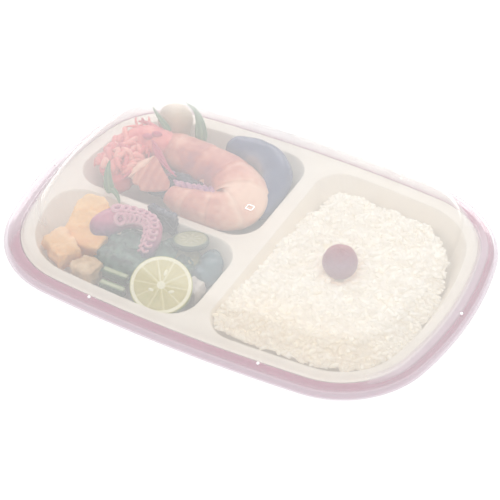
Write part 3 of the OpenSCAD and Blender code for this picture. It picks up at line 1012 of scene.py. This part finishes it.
octopus_stops = [(0.0, 70, 52, 104), (0.3, 130, 60, 110), (0.62, 198, 106, 138), (1.0, 250, 218, 224)]
octopus_mat = banded("octopus", octopus_stops, 330, mottle=0.25, roughness=0.3)
ARM = over_all([
    [-71, -38.5, 1.6, 4.2], [-69.5, -33, 3.0, 6.6], [-66, -26.5, 4.0, 7.0], [-59.5, -21.5, 4.4, 5.6],
    [-52, -19.8, 4.8, 4.8], [-45.4, -21.5, 5.0, 4.7], [-41.6, -27.5, 4.0, 4.6], [-40.4, -34, 2.0, 4.2],
    [-40.6, -40, -0.6, 3.2],
])
line = spline(ARM, 90)
v, f = capped(ARM, n=90, sides=30, wobble=0.35, end=0.1)
# painted shade: the arm darker lower down and towards the front
heap = Heap(v, f, np.clip(0.50 - 0.05 * (RIM_Z + 6 - v[:, 2]) + 0.025 * (v[:, 1] + 30), 0.03, 0.58))
curl_centre = over(-53, -36, 1)
SUCKERS = 12  # in each of two rows, from the thick end's middle to the tip
for k in range(SUCKERS):
    i = min(26 + int(k * 5.4), 86)
    p, r = line[i, :3], line[i, 3]
    outward = p - curl_centre
    outward[2] = 0
    outward /= np.linalg.norm(outward)
    for swing in (-0.85, 0.15):
        normal = np.array([0, 0, math.cos(swing)]) + outward * math.sin(swing)
        normal = normal / np.linalg.norm(normal)
        size = r * 0.40
        spot = p + normal * (r + 0.1)
        heap.add(*torus(spot, normal, size, size * 0.45), 0.74)
        heap.ball(spot - normal * 0.3, size * 0.55, 0.45, rows=8, cols=10)
heap.piece("octopus_tentacle", octopus_mat, "octopus", replaces=("octopus_arm",))

sheet = prism(
    [(-53.5, -13.6), (-37, -13.6), (-37, -9.4), (-53.5, -9.4)],
    RIM_Z - 5,
    lambda x, y: RIM_Z + 8.6 - 0.12 * (x + 45),
)
heap = Heap(*softened(sheet, voxel=0.45, smooth=5, bumps=1.3, scale=0.2, seed=2))
heap.piece("kelp_sheet_folded", kelp_mat.mat, "kelp", replaces=("kelp_sheet",))

wakame_mat = mottled("wakame", tint(40, 72, 66), tint(88, 124, 108), 260, roughness=0.3, bump=0.0005)


def ribbon(heap, rows, waves, ruffle, seed):
    """A ruffled strip of seaweed along [x, y, height over the deck, half width] rows."""
    n, sides = 70, 24
    line = spline(over_all(rows), n)
    t = np.linspace(0, 1, n)
    half = line[:, 3] * np.sqrt(np.clip(np.sin(math.pi * np.clip(t, 0.02, 0.98)), 0.03, 1))
    v, f = tube(line[:, :3], half, sides=sides, flat=0.14, up=(0.2, 0.1, 1))
    for i in range(n):
        for j in range(sides):
            side = math.cos(2 * math.pi * j / sides)
            phase = waves * t[i] * 2 * math.pi + (1.3 if side > 0 else 0) + seed
            v[i * sides + j, 2] += ruffle * abs(side) ** 1.5 * math.sin(phase)
    heap.add(v, f)


heap = Heap()
clumps = [
    ((-47, -38, -5), (20, 15, 5.5), 3),
    ((-20, -31, -8), (13, 12, 5), 6),
    ((-52, -28, -4), (10, 9, 5), 9),
]
for spot, size, seed in clumps:
    heap.ball(over(*spot), size, rows=40, cols=60, bumps=2.4, scale=0.16, seed=seed)
heap.add(*softened("wakame", smooth=5, bumps=2.2, scale=0.16))
ribbons = [
    ([[-62, -36, 1.5, 4.5], [-54, -34, 2.5, 6], [-46, -33, 2.0, 6], [-41, -28, 0.5, 4.5]], 3, 1.0, 1),
    ([[-60, -44, -1.5, 4.5], [-52, -42, 0.5, 5.5], [-44, -41, 0.5, 5.5], [-36, -38, -1.0, 4]], 3, 1.1, 2),
    ([[-37, -30, -2.0, 3], [-33, -24, 0.5, 4.5], [-32, -34, -1.0, 5.0], [-35, -40, -2, 4]], 2, 0.9, 3),
    ([[-66, -44, -6, 6], [-56, -49, -5, 7], [-42, -50, -5, 7], [-30, -46, -5, 6]], 3, 1.2, 5),
    ([[-34, -16, -6, 5], [-24, -22, -7, 8], [-14, -28, -8, 7], [-9, -36, -8, 4]], 3, 1.0, 6),
    ([[-34, -30, -4, 5], [-26, -32, -4, 7], [-18, -36, -5, 7], [-12, -44, -7, 4]], 3, 1.0, 7),
    ([[-44, -24, -5, 6], [-36, -22, -5, 7], [-30, -30, -5, 7], [-28, -38, -6, 5]], 3, 1.0, 8),
]
for strip in ribbons:
    ribbon(heap, *strip)
heap.piece("wakame_ruffled", wakame_mat, "wakame", replaces=("wakame",))


def tilted(turn, tilt):
    """Tilted about X and then turned about Z, in degrees."""
    return Matrix.Rotation(math.radians(turn), 3, "Z") @ Matrix.Rotation(math.radians(tilt), 3, "X")


SLICE_EDGE = ((0.15, 1.0), (0.5, 1.004), (0.85, 1.0), (0.97, 0.97), (1.0, 0.9))  # (depth, radius) shares


def round_face(centre, radius, depth, rot, pattern, relief, rings=30, cols=110):
    """A round slice whose top tone and height follow functions of (radius share, angle)."""
    verts, tones = [], []
    for i in range(1, rings + 1):
        r = i / rings
        for j in range(cols):
            a = 2 * math.pi * j / cols
            verts.append((radius * r * math.cos(a), radius * r * math.sin(a), depth / 2 + relief(r, a)))
            tones.append(pattern(r, a))
    for drop, grow in SLICE_EDGE:
        for j in range(cols):
            a = 2 * math.pi * j / cols
            out = radius * grow
            verts.append((out * math.cos(a), out * math.sin(a), depth / 2 - depth * drop))
            tones.append(0.0)
    top = len(verts)
    verts.append((0, 0, depth / 2 + relief(0, 0)))
    tones.append(pattern(0, 0))
    verts.append((0, 0, -depth / 2))
    tones.append(0.0)
    rows = rings + len(SLICE_EDGE)
    faces = [tuple(reversed(f)) for f in ring_faces(rows, cols)]
    for j in range(cols):
        k = (j + 1) % cols
        faces.append((top, j, k))
        faces.append((top + 1, (rows - 1) * cols + k, (rows - 1) * cols + j))
    placed = np.array([np.array(rot @ Vector(v)) for v in verts]) + np.asarray(centre, float)
    return placed, faces, np.array(tones)


def middle(node):
    """The middle of a CAD node's box."""
    lo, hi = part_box(node)
    return np.array((lo + hi) / 2) / MM


citrus_stops = [
    (0.0, 128, 142, 62), (0.12, 176, 182, 96), (0.25, 196, 184, 114), (0.45, 210, 198, 134),
    (0.62, 224, 214, 158), (0.85, 240, 234, 196), (1.0, 248, 244, 216),
]
citrus_mat = banded("citrus", citrus_stops, 420, mottle=0.16, roughness=0.28, bump=0.0004)
WEDGES = 10


def wedge_gap(a):
    """Angle to the nearest wall between two wedges."""
    s = (a / (2 * math.pi) * WEDGES + 0.3) % 1.0
    return min(s, 1 - s) / WEDGES * 2 * math.pi


def citrus_tone(r, a):
    if r > 0.965:
        return 0.12
    if r > 0.87:
        return 0.95
    if r < 0.13:
        return 1.0
    line = bell(wedge_gap(a) * r, 0, 0.035)
    fibre = 0.10 * noise.noise(Vector((math.cos(a) * 30 * r, math.sin(a) * 30 * r, 0)) * 1.2)
    streak = 0.12 * noise.noise(Vector((a * 14, r * 2.5, 1.0)))
    # painted light: one side of the flesh paler than the other
    fade = 0.12 * math.sin(a + 0.6)
    return min(1, 0.36 + fade + fibre + streak + 0.34 * line)


def citrus_relief(r, a):
    if r > 0.87 or r < 0.12:
        return 0.15 - 0.9 * max(0, r - 0.96) / 0.04 * 0.5
    gap = wedge_gap(a) * r
    swell = min(1, gap / 0.06) * min(1, (0.87 - r) / 0.05) * min(1, (r - 0.12) / 0.1)
    return 0.45 * swell + 0.05 * noise.noise(Vector((a * 20, r * 6, 0)))


citrus_centre = middle("citrus_slice") + np.array([0.1, -1.0, -1.4])
rot = tilted(29, 25)
heap = Heap(*round_face(citrus_centre, 15.8, 5, rot, citrus_tone, citrus_relief, rings=56, cols=260))
# pips: place on the face, direction and half length
for px, py, turn, long in ((2.2, 6.6, 1.2, 1.9), (5.2, -3.8, 0.2, 1.6), (-5.0, -2.6, 2.6, 1.5)):
    v, f = ball((0, 0, 0), (long, 0.85, 0.7), 12, 16)
    spin = Matrix.Rotation(turn, 3, "Z")
    v = np.array([np.array(rot @ (spin @ Vector(q) + Vector((px, py, 2.75)))) for q in v]) + citrus_centre
    heap.add(v, f, 0.97)
heap.piece("citrus_half", citrus_mat, "citrus", replaces=("citrus_slice",))

cucumber_stops = [
    (0.0, 40, 66, 52), (0.3, 98, 118, 78), (0.55, 148, 148, 104), (0.8, 184, 178, 136),
    (1.0, 216, 208, 176),
]
cucumber_mat = banded("cucumber", cucumber_stops, 300, mottle=0.2, roughness=0.28)


def cucumber_tone(r, a):
    if r > 0.93:
        return 0.02
    if r > 0.86:
        return 0.3
    seeds = 0.22 * max(0, math.cos(a * 9 + 0.5)) * bell(r, 0.42, 0.14)
    core = 0.12 * bell(r, 0, 0.2)
    return 0.55 + seeds + core + 0.1 * noise.noise(Vector((math.cos(a) * 9 * r, math.sin(a) * 9 * r, 4)))


def cucumber_relief(r, a):
    return 0.12 * bell(r, 0.42, 0.14) * math.cos(a * 9 + 0.5) - 0.5 * max(0, r - 0.94) / 0.06


# slices: shift from the CAD node's middle, radius, depth, turn and tilt
slices = [
    ("cucumber_slice_back", "cucumber_back", [((0, 0, 0), 9.6, 2.8, 29, -14)]),
    ("cucumber_slice_front", "cucumber_front", [
        ((0, 0, 0), 8.2, 2.8, 10, 12), ((-1.5, 1.0, 2.9), 7.4, 2.4, 40, 16),
    ]),
]
for name, node, rows in slices:
    heap = Heap()
    for shift, radius, depth, turn, tilt in rows:
        spot, rot = middle(node) + np.array(shift), tilted(turn, tilt)
        heap.add(*round_face(spot, radius, depth, rot, cucumber_tone, cucumber_relief))
    heap.piece(name, cucumber_mat, "cucumber", replaces=(node,))

teal_stops = [(0.0, 34, 64, 76), (0.5, 64, 98, 110), (1.0, 104, 134, 138)]
teal_mat = banded("aubergine_skin", teal_stops, 200, mottle=0.4, roughness=0.25, bump=0.0004)
rows = over_all([
    [-15, -19, -4.8, 4.8], [-9.2, -22.5, -3.6, 6.2], [-7.6, -30, -3.6, 6.4], [-8.8, -38.5, -5.0, 5.6],
])
v, f = capped(rows, n=60, sides=30, wobble=1.8)
# painted light: the skin paler higher up
heap = Heap(v, f, np.clip(0.4 + 0.05 * (v[:, 2] - RIM_Z + 2), 0, 1))
heap.piece("aubergine_small_slice", teal_mat, "aubergine", replaces=("aubergine_small",))
fish_mat = mottled("fish_cake", tint(188, 176, 172), tint(222, 212, 204), 160, roughness=0.5, bump=0.0003)
cake = prism(
    [(-14, -45), (-5.6, -47.5), (-4.4, -38), (-12, -36.5)],
    RIM_Z - 14,
    lambda x, y: RIM_Z - 1.8 + 0.1 * (y + 40),
)
heap = Heap(*softened(cake, voxel=0.45, smooth=8, bumps=0.7, scale=0.25, seed=11))
heap.piece("fish_cake_slice", fish_mat, "fish_cake", replaces=("fish_cake",))
bean_stops = [(0.0, 44, 72, 48), (0.4, 76, 108, 70), (0.8, 170, 182, 140), (1.0, 214, 216, 186)]
bean_mat = banded("green_bean", bean_stops, 260, mottle=0.15, roughness=0.3)


def bean_tone(p):
    """Pale stripes across the bean."""
    return 0.15 + 0.75 * max(0.0, math.sin((p[1] * 0.75 + p[2] * 0.5) + 1.2))


for node, seed in (("bean_back", 12), ("bean_front", 13)):
    look = dict(voxel=0.35, smooth=4, bumps=0.35, scale=0.4, seed=seed, tone=bean_tone)
    soft_piece(node, bean_mat, "green_bean", **look)
